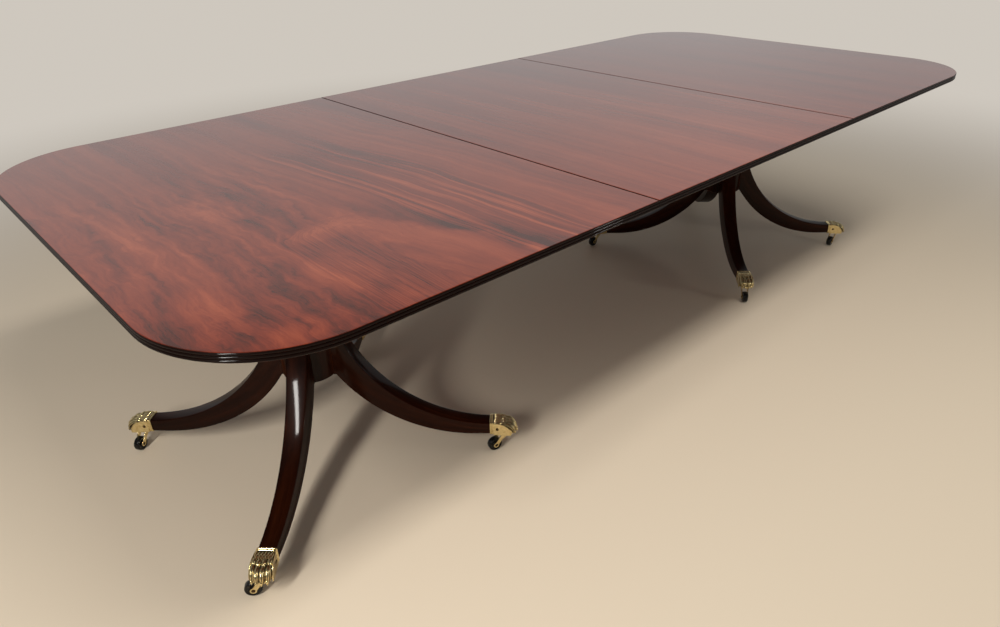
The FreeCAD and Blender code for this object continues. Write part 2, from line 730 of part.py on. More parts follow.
for end, side in ENDS.items():
    end_top(end, side)
    bearers(end, side)
    block(end, side)
    lopers(end, side)
    column(end, side)
    cap_screws = []
    for corner, hand in CORNERS:
        for depth, way in DEPTHS:
            label = "%s_%s_%s" % (end, corner, depth)
            angle = math.degrees(math.atan2(hand, side * way))
            leg(label + "_leg", side, angle)
            paw_cap(label + "_paw_cap", side, angle)
            castor(label, side, angle, CASTOR_TURNS[label])
            for row in (-1, 1):
                cap_screws.append(cap_screw("%s_cap_screw_%d" % (label, row + 1), side, angle, row))
    finished(gathered(end + "_cap_screws", cap_screws), end + "_cap_screws")
    wood_screws = screws(end + "_bearer_screw", bearer_screw_places(side))
    wood_screws += screws(end + "_block_screw", block_screw_places(side))
    finished(gathered(end + "_bearer_screws", wood_screws), end + "_bearer_screws")

doc.recompute()
for item in doc.Objects:
    if "Invalid" in item.State or "Error" in item.State:
        raise ValueError("%s failed: %s" % (item.Label, item.State))
for feature in POCKETS:
    if feature.Shape.Volume > feature.BaseFeature.Shape.Volume - 1:
        raise ValueError("%s cuts nothing" % feature.Label)
os.makedirs("parts", exist_ok=True)
for piece in PIECES:
    if piece.Shape.isNull() or not piece.Shape.isValid():
        raise ValueError("%s has no valid shape" % piece.Label)
for piece in PIECES:
    piece.Shape.exportStep("parts/%s.step" % piece.Label)
print(len(PIECES), "pieces")
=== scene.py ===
import json
import math

import bpy
import numpy as np
from mathutils import Matrix, Vector


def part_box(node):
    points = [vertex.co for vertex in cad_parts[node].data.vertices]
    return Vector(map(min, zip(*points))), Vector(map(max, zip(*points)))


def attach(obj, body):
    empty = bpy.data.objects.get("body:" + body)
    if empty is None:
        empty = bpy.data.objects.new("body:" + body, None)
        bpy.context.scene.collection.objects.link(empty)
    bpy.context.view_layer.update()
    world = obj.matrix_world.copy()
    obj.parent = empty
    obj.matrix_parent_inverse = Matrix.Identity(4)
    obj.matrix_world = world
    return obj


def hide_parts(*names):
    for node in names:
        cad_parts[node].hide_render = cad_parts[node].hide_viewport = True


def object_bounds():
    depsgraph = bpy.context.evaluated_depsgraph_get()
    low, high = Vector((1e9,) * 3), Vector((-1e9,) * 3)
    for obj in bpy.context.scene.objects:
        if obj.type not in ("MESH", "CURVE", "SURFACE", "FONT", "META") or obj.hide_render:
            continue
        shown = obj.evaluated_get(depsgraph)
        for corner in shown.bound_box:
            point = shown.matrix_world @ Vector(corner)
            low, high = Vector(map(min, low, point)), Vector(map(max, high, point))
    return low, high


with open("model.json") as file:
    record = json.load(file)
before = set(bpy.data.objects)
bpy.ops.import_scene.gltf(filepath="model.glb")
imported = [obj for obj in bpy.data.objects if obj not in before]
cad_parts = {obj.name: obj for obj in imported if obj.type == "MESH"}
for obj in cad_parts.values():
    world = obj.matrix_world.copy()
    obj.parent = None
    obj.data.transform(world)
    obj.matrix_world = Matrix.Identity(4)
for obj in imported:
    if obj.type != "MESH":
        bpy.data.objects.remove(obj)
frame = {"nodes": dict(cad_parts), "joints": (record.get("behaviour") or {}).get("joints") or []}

cad_box = [list(corner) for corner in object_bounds()]


# The columns. Each is turned in one piece from dense dark mahogany: a plain drum that takes the legs,
# a ring, a swelling shaft and a collar. A round tenon at its head is glued into the block above.

ENDS = ("left", "right")
DRUM_RADIUS = 0.070
DRUM_EDGE = 0.006
DRUM_TOP = 0.376
RING_RADIUS = 0.056
RING_HEIGHT = 0.022
WAIST_RADIUS = 0.038
WAIST_HEIGHT = 0.450
SHAFT_SWELL = 0.005
COLLAR_RADIUS = 0.054
COLLAR_HEIGHT = 0.026
TENON_RADIUS = 0.026
QUARTER_ROUND = 1 - math.sqrt(0.5)
DARK_TONES = ((0.004, 0.0011, 0.0005), (0.011, 0.0024, 0.0008),
              (0.022, 0.0048, 0.0015), (0.050, 0.0125, 0.0042))
DARK_POLISH = (0.19, 1.5, 0.07)
TONE_STOPS = (0.22, 0.42, 0.58, 0.80)
BODY_SPECULAR = 0.02
BODY_ROUGHNESS = 0.3
BANDS_PER_METRE = 11
FLAMES_PER_METRE = 26
STRIPES_PER_METRE = 46
THREADS_PER_METRE = 420
PORES_PER_METRE = 1500
FLAT_FACE = 0.05


class Socket:
    """A value in a material: arithmetic on it adds Math nodes, and node() adds any other node."""

    def __init__(self, tree, output=None):
        self.tree = tree
        self.output = output

    def node(self, kind, settings, inputs, output=0):
        """Adds a node of this kind, sets it up, feeds its sockets and gives one of its outputs."""
        made = self.tree.nodes.new("ShaderNode" + kind)
        for key, value in settings.items():
            if key == "stops":
                ramp = made.color_ramp.elements
                for index, (position, colour) in enumerate(value):
                    stop = ramp[index] if index < 2 else ramp.new(position)
                    stop.position = position
                    stop.color = (*colour, 1)
            else:
                setattr(made, key, value)
        for key, value in inputs.items():
            self.feed(made.inputs[key], value)
        return Socket(self.tree, made.outputs[output])

    def feed(self, socket, value):
        """Links a value to a socket, or sets the socket to a constant."""
        if isinstance(value, Socket):
            self.tree.links.new(value.output, socket)
        else:
            socket.default_value = value

    def math(self, operation, first, second=0.0):
        """One step of arithmetic on two numbers."""
        return self.node("Math", {"operation": operation}, {0: first, 1: second})

    def __add__(self, other):
        return self.math("ADD", self, other)

    def __sub__(self, other):
        return self.math("SUBTRACT", self, other)

    def __rsub__(self, other):
        return self.math("SUBTRACT", other, self)

    def __mul__(self, other):
        return self.math("MULTIPLY", self, other)

    __radd__ = __add__
    __rmul__ = __mul__

    def between(self, low, high):
        """0 before the first value, 1 past the second one, and a smooth step from one to the other."""
        return self.node("MapRange", {"interpolation_type": "SMOOTHSTEP"},
                         {"Value": self, "From Min": low, "From Max": high})

    def split(self):
        """The three numbers of a vector."""
        return [self.node("SeparateXYZ", {}, {"Vector": self}, axis) for axis in "XYZ"]

    def noise(self, x, y, z, detail=2.0, rough=0.5):
        """Cloudy noise from 0 to 1 at a point given in periods."""
        point = self.node("CombineXYZ", {}, {"X": x, "Y": y, "Z": z})
        inputs = {"Vector": point, "Scale": 1.0, "Detail": detail, "Roughness": rough}
        return self.node("TexNoise", {}, inputs)

    def mixed(self, share, first, second):
        """A colour between two colours."""
        first, second = [colour if isinstance(colour, Socket) else (*colour, 1) for colour in (first, second)]
        return self.node("Mix", {"data_type": "RGBA"}, {0: share, 6: first, 7: second}, 2)

    def bump(self, strength, distance, height):
        """A normal that follows small rises of the surface."""
        return self.node("Bump", {}, {"Strength": strength, "Distance": distance, "Height": height}, "Normal")


def new_finish(name, **constants):
    """A material with one Principled shader: the material, a socket to build on, and a way to feed it."""
    made = bpy.data.materials.new(name)
    made.use_nodes = True
    shader = made.node_tree.nodes["Principled BSDF"]
    for key, value in constants.items():
        shader.inputs[key.replace("_", " ")].default_value = value
    start = Socket(made.node_tree)

    def feed(**values):
        """Feeds the shader's sockets, whose names are written with underscores."""
        for key, value in values.items():
            start.feed(shader.inputs[key.replace("_", " ")], value)

    return made, start, feed


def mahogany(name, tones, contrast, wander, polish, shift=0.0, figure=None, border=None):
    """Mahogany: bands, stripes, threads and pores along the grain, which wanders sideways as it runs.

    The piece's own attribute called grain holds metres along the grain, across it and through the wood.
    tones are the colours from dark to light, contrast says how far the bands and stripes reach into them,
    and wander is how far the grain strays, in metres. polish gives the polish's weight, index and
    roughness. A figure bends the grain and shades it in places of its own, and a border changes the
    colour, the roughness and the polish's weight below the face of a board.
    """
    coat, coat_index, coat_roughness = polish
    made, start, feed = new_finish(name, IOR=1.5, Specular_IOR_Level=BODY_SPECULAR,
                                   Coat_Roughness=coat_roughness, Coat_IOR=coat_index)
    along, across, through = start.node("Attribute", {"attribute_name": "grain"}, {}, "Vector").split()
    drift = start.noise(along * 1.5 + shift, across * 2.1 + shift, through, 2.0) - 0.5
    curl = start.noise(along * 5.2 + shift, across * 8.5, through * 6, 3.0) - 0.5
    lane = across + drift * wander + curl * (wander * 0.25)
    shade = 0.0
    if figure:
        lane, shade = figure(start, along, across, lane)
    bands = start.noise(along * 0.5 + shift, lane * BANDS_PER_METRE, through * BANDS_PER_METRE + shift) - 0.5
    stripes = start.noise(along * 0.9 + shift, lane * STRIPES_PER_METRE,
                          through * STRIPES_PER_METRE, 4.0, 0.6) - 0.5
    threads = start.noise(along * 5.0, lane * THREADS_PER_METRE, through * THREADS_PER_METRE)
    flame = start.noise(along * 10 + shift, lane * FLAMES_PER_METRE,
                        through * FLAMES_PER_METRE, 3.0, 0.6) - 0.5
    tone = 0.5 + bands * contrast + stripes * (contrast * 0.8) + flame * (contrast * 0.35)
    tone = tone + threads * 0.16 - 0.08 + shade
    colour = start.node("ValToRGB", {"stops": list(zip(TONE_STOPS, tones))}, {"Fac": tone})
    pores = start.noise(along * 34, lane * PORES_PER_METRE, through * PORES_PER_METRE, 1.0)
    pores = pores.between(0.36, 0.26)
    colour = start.mixed(pores * 0.4, colour, tones[0])
    roughness = BODY_ROUGHNESS + threads * 0.08
    if border:
        colour, roughness, coat = border(start, through, stripes, colour, roughness, coat)
    feed(Base_Color=colour, Roughness=roughness, Coat_Weight=coat,
         Normal=start.bump(0.06, 0.0004, threads - pores))
    return made


def arc(start, end, rise, steps=12):
    """Points from start to end along a circle whose middle stands rise to the right of the chord.

    Each is the start turned about the circle's centre by an even share of the whole turn.
    """
    start = np.array(start, float)
    chord = np.array(end, float) - start
    length = np.hypot(*chord)
    right = np.array([chord[1], -chord[0]]) / length
    radius = (length ** 2 / 4 + rise ** 2) / (2 * rise)
    centre = start + chord / 2 + right * (rise - radius)
    turn = np.linspace(0, 4 * math.atan(2 * rise / length), steps + 1)
    x, y = start - centre
    turned_start = [x * np.cos(turn) - y * np.sin(turn), x * np.sin(turn) + y * np.cos(turn)]
    return centre + np.stack(turned_start, axis=-1)


def shell(points, closed=True, ends=True, **marks):
    """A sheet of rows and columns of points: its corners, its faces, and marks for each corner.

    closed joins the last row to the first, and ends closes the first and last columns with one face each.
    """
    rows, columns = points.shape[:2]
    index = np.arange(rows * columns).reshape(rows, columns)
    ring = np.vstack([index, index[:1]]) if closed else index
    quads = np.stack([ring[:-1, :-1], ring[1:, :-1], ring[1:, 1:], ring[:-1, 1:]], axis=-1).reshape(-1, 4)
    faces = [quads, index[::-1, :1].T, index[:, -1:].T] if ends else [quads]
    flat_marks = {key: np.reshape(value, (rows * columns, -1)) for key, value in marks.items()}
    return {"points": points.reshape(-1, 3), "faces": faces, "marks": flat_marks}


def piece(name, shells, finish, body, nodes, crease=38):
    """Joins shells into one object that rides on a body and stands for CAD nodes.

    Edges sharper than the crease's angle stay sharp. Faces larger than FLAT_FACE, in square metres, are
    shaded flat, so that a flat face mirrors like one, and all others smooth.
    """
    first = np.cumsum([0] + [len(part["points"]) for part in shells])
    faces = [face for start, part in zip(first, shells) for group in part["faces"]
             for face in (group + start).tolist()]
    mesh = bpy.data.meshes.new(name)
    mesh.from_pydata(np.concatenate([part["points"] for part in shells]), [], faces)
    for key in shells[0]["marks"]:
        values = np.concatenate([part["marks"][key] for part in shells]).astype(np.float32)
        kind, field = ("FLOAT_VECTOR", "vector") if values.shape[1] == 3 else ("FLOAT", "value")
        mesh.attributes.new(key, kind, "POINT").data.foreach_set(field, values.ravel())
    mesh.set_sharp_from_angle(angle=math.radians(crease))
    areas = np.empty(len(mesh.polygons), np.float32)
    mesh.polygons.foreach_get("area", areas)
    mesh.polygons.foreach_set("use_smooth", areas < FLAT_FACE)
    mesh.materials.append(finish)
    made = bpy.data.objects.new(name, mesh)
    bpy.context.scene.collection.objects.link(made)
    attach(made, body)
    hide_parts(*nodes)


def turned(profile, sides=96):
    """A profile of (radius, height) carried once round an upright axis at the origin."""
    angle = np.linspace(0, 2 * math.pi, sides, endpoint=False)[:, None]
    radius, height = profile[:, 0], profile[:, 1]
    return np.stack([radius * np.cos(angle), radius * np.sin(angle), height + 0 * angle], axis=-1)


dark_mahogany = mahogany("dark_mahogany", DARK_TONES, contrast=0.8, wander=0.03, polish=DARK_POLISH)
edge_rise = DRUM_EDGE * QUARTER_ROUND
ring_top = DRUM_TOP + RING_HEIGHT
column_axis = {}
for end in ENDS:
    low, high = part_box(end + "_column")
    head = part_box(end + "_block")[0].z
    collar = head - COLLAR_HEIGHT
    column_axis[end] = (low.x + high.x) / 2
    profile = np.concatenate([
        [(TENON_RADIUS, low.z)],
        arc((DRUM_RADIUS - DRUM_EDGE, low.z), (DRUM_RADIUS, low.z + DRUM_EDGE), edge_rise),
        arc((DRUM_RADIUS, DRUM_TOP - DRUM_EDGE), (DRUM_RADIUS - DRUM_EDGE, DRUM_TOP), edge_rise),
        arc((RING_RADIUS, DRUM_TOP), (RING_RADIUS, ring_top), RING_HEIGHT / 2, 20),
        arc((RING_RADIUS - DRUM_EDGE, ring_top), (WAIST_RADIUS, WAIST_HEIGHT),
            -(WAIST_HEIGHT - ring_top) / 6, 20),
        arc((WAIST_RADIUS, WAIST_HEIGHT), (COLLAR_RADIUS - 2 * DRUM_EDGE, collar), SHAFT_SWELL, 24)[1:],
        arc((COLLAR_RADIUS, collar), (COLLAR_RADIUS, head), COLLAR_HEIGHT / 4, 16),
        [(TENON_RADIUS, head), (TENON_RADIUS, high.z)],
    ])
    points = turned(profile)
    grain = points[..., [2, 0, 1]]
    points = points + np.array([column_axis[end], 0, 0])
    piece(end + "_turned_column", [shell(points, grain=grain)], dark_mahogany,
          end + "_end", [end + "_column"])


# The legs. Eight curved legs are sawn from dark mahogany, tapered to the foot and polished. Their upper
# face is slightly crowned between rounded arrises, and each is dovetailed into its drum.

LEG_TOP = 0.370
LEG_LEDGE = 0.016
LEG_HEIGHT = 0.054
FOOT_DEPTH = 0.034
LEG_REACH = 0.454
LOWER_BEND = 0.414
UPPER_BEND = 0.466
ROOT_HALF_WIDTH = 0.0255
FOOT_HALF_WIDTH = 0.019
TENON_END = 0.474
UPPER_ARRIS = 0.0028
LOWER_ARRIS = 0.0025
CROWN = 0.0016
CROWN_SHARE = 0.75
ARRIS_POINTS = 7
END_STEPS = 4
ARC_STEPS = 56
# How much further along and across the wood each leg's grain starts than that of the leg before.
GRAIN_STEPS = (1.7, 1.0)
UP = np.array([0, 0, 1])


def level_arc(far, near, steps):
    """A circle that starts level at the foot and bends up to the drum: far and near are (reach, height)."""
    run = far[0] - near[0]
    climb = near[1] - far[1]
    radius = (run ** 2 + climb ** 2) / (2 * climb)
    turn = np.linspace(0, math.asin(run / radius), steps + 1)[::-1]
    return np.stack([far[0] - radius * np.sin(turn), far[1] + radius * (1 - np.cos(turn))], axis=-1)


def straight(start, end, steps):
    """Points at even steps along a straight line."""
    return np.linspace(start, end, steps + 1)


def leg_section(half_width, depth):
    """The leg in section, for each place along it: flat sides, arrises that are quarter rounds, and an upper
    face that falls off with the square of the step from its middle."""
    quarter = np.linspace(0, math.pi / 2, ARRIS_POINTS)
    level = np.full(ARRIS_POINTS, math.pi / 2)
    turn = np.concatenate([quarter - math.pi / 2, quarter, level, quarter + math.pi / 2, quarter + math.pi])
    turn = turn[:, None]
    side = np.ones(2 * ARRIS_POINTS)
    hand = np.concatenate([side, np.linspace(CROWN_SHARE, -CROWN_SHARE, ARRIS_POINTS), -side])[:, None]
    upper = np.repeat([0, 1, 1, 1, 0], ARRIS_POINTS)[:, None]
    round_edge = np.where(upper > 0, UPPER_ARRIS, LOWER_ARRIS)
    across = hand * (half_width - round_edge) + round_edge * np.cos(turn)
    height = np.where(upper > 0, depth - round_edge, round_edge) + round_edge * np.sin(turn)
    return across, height - upper * CROWN * (across / half_width) ** 2


def steps_from(start, ways, first, second, third):
    """Points at steps along three ways from a start."""
    return start + first[..., None] * ways[0] + second[..., None] * ways[1] + third[..., None] * ways[2]


def set_out(label, reach, across, height):
    """Points at a reach from the column's axis along a leg, a step to the leg's left and a height."""
    end, corner, depth = label.split("_")
    side = {"left": -1, "right": 1}[end] * {"outer": 1, "inner": -1}[depth]
    out = np.array([side, {"front": -1, "back": 1}[corner], 0]) * math.sqrt(0.5)
    left = np.array([-out[1], out[0], 0])
    return steps_from(np.array([column_axis[end], 0, 0]), (out, left, UP), reach, across, height)


feet = ["%s_%s_%s" % (end, corner, depth) for end in ENDS
        for corner in ("front", "back") for depth in ("outer", "inner")]
foot_top = LEG_HEIGHT + FOOT_DEPTH
root = DRUM_RADIUS - DRUM_EDGE
for number, label in enumerate(feet):
    end = label.split("_")[0]
    drum_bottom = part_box(end + "_column")[0].z
    lower = np.concatenate([
        straight((root, drum_bottom), (DRUM_RADIUS, drum_bottom), END_STEPS)[:-1],
        level_arc((LOWER_BEND, LEG_HEIGHT), (DRUM_RADIUS, drum_bottom), ARC_STEPS),
        straight((LOWER_BEND, LEG_HEIGHT), (TENON_END, LEG_HEIGHT), END_STEPS)[1:]])
    upper = np.concatenate([
        straight((root, LEG_TOP), (DRUM_RADIUS + LEG_LEDGE, LEG_TOP), END_STEPS)[:-1],
        level_arc((UPPER_BEND, foot_top), (DRUM_RADIUS + LEG_LEDGE, LEG_TOP), ARC_STEPS),
        straight((UPPER_BEND, foot_top), (TENON_END, foot_top), END_STEPS)[1:]])
    depth = np.hypot(*(upper - lower).T)
    share = np.clip((lower[:, 0] - DRUM_RADIUS) / (LEG_REACH - DRUM_RADIUS), 0, 1)
    half_width = ROOT_HALF_WIDTH + (FOOT_HALF_WIDTH - ROOT_HALF_WIDTH) * share
    across, height = leg_section(half_width, depth)
    place = lower + (height / depth)[..., None] * (upper - lower)
    points = set_out(label, place[..., 0], across, place[..., 1])
    length = np.concatenate([[0], np.cumsum(np.hypot(*np.diff(lower, axis=0).T))])
    along = length + 0 * across + number * GRAIN_STEPS[0]
    grain = np.stack([along, across + number * GRAIN_STEPS[1], height], axis=-1)
    piece(label + "_curved_leg", [shell(points, grain=grain)], dark_mahogany,
          end + "_end", [label + "_leg"])


# The paw caps. Each is a hollow brass casting pushed over the foot and held by a screw in each side: a
# collar of two beads, locks of fur, and four toes with claws. The sides are left plain behind a curved rim.

MM = 0.001
HANDS = (-1, 1)
CAP_FLOOR = 0.0515
COLLAR_HALF = 0.0215
# The core's sections, in millimetres: how far out, half its width, its floor, its roof, and how square it is.
CORE = ((0, 21.5, 0, 39, 9), (9, 21.5, 0, 39, 9), (20, 21.6, 0, 38, 9), (34, 22.2, 0, 36, 8),
        (46, 23, 0, 32, 6), (56, 22, 0.4, 27, 4), (62, 19, 1.5, 20, 3), (66, 13, 4, 13, 2.4))
CORE_SECTIONS = 140
CORE_POINTS = 72
COLLAR_END = 9.5
BEAD_WIDTH = 3.5
BEAD_STARTS = (0, 5)
BEAD_PROUD = 1.2
# Toes, claws and locks of fur, in millimetres: how far out, how far up, and the radius.
TOE = ((26, 31, 4.4), (37, 32.6, 7.2), (46, 29.8, 5.2), (55, 26.4, 7.2), (62.5, 19.6, 7.3),
       (65.5, 11.5, 5.6), (65.5, 6.0, 3.6), (65.0, 4.0, 1.2))
CLAW = ((63, 11, 3.2), (68.5, 10.0, 3.4), (71.2, 6.4, 2.5), (72.0, 2.6, 0.8))
TOE_PLACES = (-0.0168, -0.0058, 0.0058, 0.0168)
TOE_SETBACK = (0.0045, 0.0, 0.0, 0.0045)
TOE_FLAT = 0.95
GROOVES = 10
GROOVE_DEPTH = 0.10
GROOVE_SHADE = 0.75
BACK_LOCK = ((8.8, 36.6, 1.6), (15, 37.2, 3.0), (22, 37.2, 2.5), (29, 37.4, 0.5))
FRONT_LOCK = ((15, 36.4, 1.4), (22, 37.0, 3.0), (29, 36.8, 2.4), (36, 36.6, 0.5))
LOCK_ROWS = ((BACK_LOCK, 17.5, 6), (FRONT_LOCK, 14, 5))
LOCK_FLAT = 1.1
# The rim of a plain side, in millimetres out and up, and how far the side flares beyond the collar.
RIM_LINE = ((10, 36.4), (22, 36.6), (35, 33.6), (46, 26.6), (53.5, 16), (56, 6), (55, 1.2))
RIM_POINTS = 60
RIM_RADIUS = 0.0013
RIM_PROUD = 0.0004
FLARE_PLACES = (0.010, 0.026, 0.042, 0.056)
FLARE_STEPS = (0.0, 0.0010, 0.0026, 0.0032)
PLATE_FOOT = 0.0006
PLATE_BACK = 0.0095
PLATE_HEAD = 0.036
PLATE_RINGS = (1, 1, 0.5, 0, 0)
PLATE_STANDS = (-0.001, 0.0008, 0.0008, 0.0008, -0.0004)
HOLE_PLACE = (0.020, 0.0195)
HOLE_RADIUS = 0.0044
RECESS_BRIGHT = 0.05
CORE_BRIGHT = 0.75
PLAIN_BRIGHT = 0.8
BRASS_TONES = ((0.84, 0.70, 0.375), (0.66, 0.51, 0.235))
# The dark of tarnish and of painted shade on the brass: undersides, grooves and recesses.
TARNISH_AND_SHADE_TONE = (0.028, 0.019, 0.011)


def clouded(start, periods, detail, rough=0.5):
    """Cloudy noise at the piece's own coordinates, with so many periods to a metre."""
    x, y, z = start.node("TexCoord", {}, {}, "Object").split()
    return start.noise(x * periods, y * periods, z * periods, detail, rough)


def flow(keys, count):
    """A smooth run through rows of keys: between two of them, the cubic whose slopes at its ends are those
    from each key's neighbour before to its neighbour after."""
    keys = np.array(keys, float)
    slope = np.gradient(keys, axis=0)
    spot = np.linspace(0, len(keys) - 1, count)
    at = np.minimum(spot.astype(int), len(keys) - 2)
    t = (spot - at)[:, None]
    return (keys[at] * (1 + 2 * t) * (1 - t) ** 2 + slope[at] * t * (1 - t) ** 2
            + keys[at + 1] * t ** 2 * (3 - 2 * t) + slope[at + 1] * t ** 2 * (t - 1))


def tube(path, radius, sides, flat=1.0, grooves=0):
    """A round bar along a path of (out, across, up): rings square to the path, with a radius for each.

    Grooves run along it like fur: a cosine round the ring sinks the surface, and fades towards the bar's
    end. Gives the points, and how bright they are: painted shade below, and darker in the grooves.
    """
    run = np.gradient(path, axis=0)
    run = run / np.linalg.norm(run, axis=1)[:, None]
    across = np.cross(UP + 0 * run, run)
    across[np.linalg.norm(across, axis=1) < 0.05] = (0, 1, 0)
    across = across / np.linalg.norm(across, axis=1)[:, None]
    rise = np.cross(run, across)
    turn = np.linspace(0, 2 * math.pi, sides, endpoint=False)[:, None, None]
    ring = np.cos(turn) * across * flat + np.sin(turn) * rise
    # Painted shade: the lower side of each bar is marked darker than its upper side, as if lit from above.
    bright = np.clip(ring[..., 2] * 0.6 + 0.45, 0, 1)
    if grooves:
        fade = np.interp(np.linspace(0, 1, len(path)), [0, 0.12, 0.55, 0.8], [0.4, 1, 0.8, 0])
        sunk = (0.5 + 0.5 * np.cos(turn[..., 0] * grooves)) ** 2 * fade
        ring = ring * (1 - GROOVE_DEPTH * sunk)[..., None]
        bright = np.clip(bright - GROOVE_SHADE * sunk, 0, 1)
    return path + ring * radius[:, None], bright


def lobe(keys, across, count, sides, flat, grooves=0):
    """A swelling bar through keys of (out, up, radius), all at one step across."""
    out, up, radius = flow(np.array(keys) * MM, count).T
    return tube(np.stack([out, across + 0 * out, up], axis=-1), radius, sides, flat, grooves)


def cap_core():
    """The casting behind the toes: rounded oblongs that narrow to the front, swelling at the two beads.

    An oblong's corners come from the cosine and sine of a turn, each to the power of 2 over how square it
    is. A bead is a half ellipse along the way out.
    """
    out, half, floor, roof, square = flow(CORE, CORE_SECTIONS).T
    bead = np.zeros_like(out)
    for first in BEAD_STARTS:
        inside = 1 - ((out - first - BEAD_WIDTH / 2) / (BEAD_WIDTH / 2)) ** 2
        bead = np.maximum(bead, np.sqrt(np.clip(inside, 0, 1)))
    half = half + bead * BEAD_PROUD
    roof = roof + bead * BEAD_PROUD
    turn = np.linspace(0, 2 * math.pi, CORE_POINTS, endpoint=False)[:, None]
    power = 2 / square
    across = half * np.sign(np.cos(turn)) * np.abs(np.cos(turn)) ** power
    lift = np.sign(np.sin(turn)) * np.abs(np.sin(turn)) ** power
    up = (roof + floor) / 2 + (roof - floor) / 2 * lift
    # Tarnish and painted shade: the core's roof under and between the toes and locks is marked nearly black.
    bright = np.where((lift > 0.6) & (out > COLLAR_END), RECESS_BRIGHT, CORE_BRIGHT)
    return np.stack([out + 0 * turn, across, up], axis=-1) * MM, bright


def flare(out):
    """How far a side stands beyond the collar: straight runs between the flare's places."""
    return np.interp(out, FLARE_PLACES, FLARE_STEPS)


def rim_bead(hand):
    """A thin round bar along the rim of a plain side."""
    rim = flow(RIM_LINE, RIM_POINTS) * MM
    stand = COLLAR_HALF + RIM_PROUD + flare(rim[:, 0])
    path = np.stack([rim[:, 0], hand * stand, rim[:, 1]], axis=-1)
    points, mark = tube(path, np.full(RIM_POINTS, RIM_RADIUS), 10)
    return points, np.ones_like(mark)


def plain_side(hand):
    """A cheek of the cap: a thin plate in rings from its edge in to the screw's hole.

    The edge is the rim, a straight foot and a straight back, read as a distance from the hole at each
    bearing. Each ring stands at its own share of that distance, and at its own height.
    """
    rim = np.array(RIM_LINE) * MM
    corners = np.array([(rim[-1, 0], PLATE_FOOT), (PLATE_BACK, PLATE_FOOT), (PLATE_BACK, PLATE_HEAD)])
    foot = np.linspace(corners[0], corners[1], 40)[1:]
    back = np.linspace(corners[1], corners[2], 40)[1:]
    step = np.concatenate([flow(rim, RIM_POINTS), foot, back]) - np.array(HOLE_PLACE)
    bearing = np.arctan2(step[:, 1], step[:, 0])
    order = np.argsort(bearing)
    turn = np.linspace(-math.pi, math.pi, 96, endpoint=False)[:, None]
    far = np.interp(turn, bearing[order], np.hypot(*step[order].T), period=2 * math.pi)
    radius = HOLE_RADIUS + (far - HOLE_RADIUS) * np.array(PLATE_RINGS)
    out = HOLE_PLACE[0] + radius * np.cos(turn)
    up = HOLE_PLACE[1] + radius * np.sin(turn)
    stand = COLLAR_HALF + np.array(PLATE_STANDS) + flare(out)
    points = np.stack([out, hand * stand, up], axis=-1)
    return points if hand > 0 else points[:, ::-1], np.full(out.shape, PLAIN_BRIGHT)


def cast(label, sheets, ends):
    """Shells of the sheets of a cap, set out at the foot of a leg."""
    return [shell(set_out(label, LEG_REACH + points[..., 0], points[..., 1], CAP_FLOOR + points[..., 2]),
                  ends=ends, bright=mark) for points, mark in sheets]


brass, start, feed_brass = new_finish("polished_brass", Metallic=1.0, IOR=1.5)
bright = start.node("Attribute", {"attribute_name": "bright"}, {}, "Fac")
cloud = clouded(start, 160, 4.0, 0.6)
speck = clouded(start, 900, 2.0)
# Tarnish and painted shade: where the bright mark is low, on undersides, in grooves and in recesses, the
# brass is painted dark and dull.
tarnish_and_shade = (bright + cloud * 0.5 - 0.25).between(0.70, 0.28)
brass_tone = start.mixed(cloud.between(0.35, 0.7), *BRASS_TONES)
feed_brass(Base_Color=start.mixed(tarnish_and_shade, brass_tone, TARNISH_AND_SHADE_TONE),
           Roughness=0.15 + cloud * 0.14 + tarnish_and_shade * 0.3,
           Normal=start.bump(0.12, 0.0003, speck))

solid_sheets = [cap_core()]
for across, setback in zip(TOE_PLACES, TOE_SETBACK):
    for keys, sides, grooves in ((TOE, 60, GROOVES), (CLAW, 20, 0)):
        points, mark = lobe(keys, across, 40, sides, TOE_FLAT, grooves)
        solid_sheets.append((points - np.array([setback, 0, 0]), mark))
for keys, spread, count in LOCK_ROWS:
    for across in np.linspace(-spread, spread, count) * MM:
        solid_sheets.append(lobe(keys, across, 18, 14, LOCK_FLAT))
solid_sheets += [rim_bead(hand) for hand in HANDS]
open_sheets = [plain_side(hand) for hand in HANDS]
for label in feet:
    piece(label + "_brass_paw", cast(label, solid_sheets, True) + cast(label, open_sheets, False), brass,
          label.split("_")[0] + "_end", [label + "_paw_cap"], crease=50)


# The cap screws. A small countersunk screw holds each side of each cap, its slotted head a little below the
# plain side. All of one end's screws are one group.

HEAD_RADII = (0.0042, 0.0042, 0.0036, 0.0024, 0.0012, 0.0003)
HEAD_STANDS = (-0.0012, 0.0, 0.0002, 0.0003, 0.0003, 0.0003)
HEAD_PROUD = 0.0002
SLOT_HALF = 0.0006
SLOT_DEPTH = 0.0004
SCREW_TONES = ((0.030, 0.018, 0.009), (0.11, 0.065, 0.028))

screw_metal, start, feed_screw = new_finish("darkened_brass_screw", Metallic=1.0)
dull = clouded(start, 700, 3.0)
feed_screw(Base_Color=start.mixed(dull, *SCREW_TONES), Roughness=0.35 + dull * 0.25)


def slotted_head():
    """A round head in rings, as (along, proud, up): each ring at its own height, sunk along the slot."""
    turn = np.linspace(0, 2 * math.pi, 48, endpoint=False)[:, None]
    along = np.array(HEAD_RADII) * np.cos(turn)
    up = np.array(HEAD_RADII) * np.sin(turn)
    return along, np.array(HEAD_STANDS) - SLOT_DEPTH * (np.abs(up) < SLOT_HALF), up


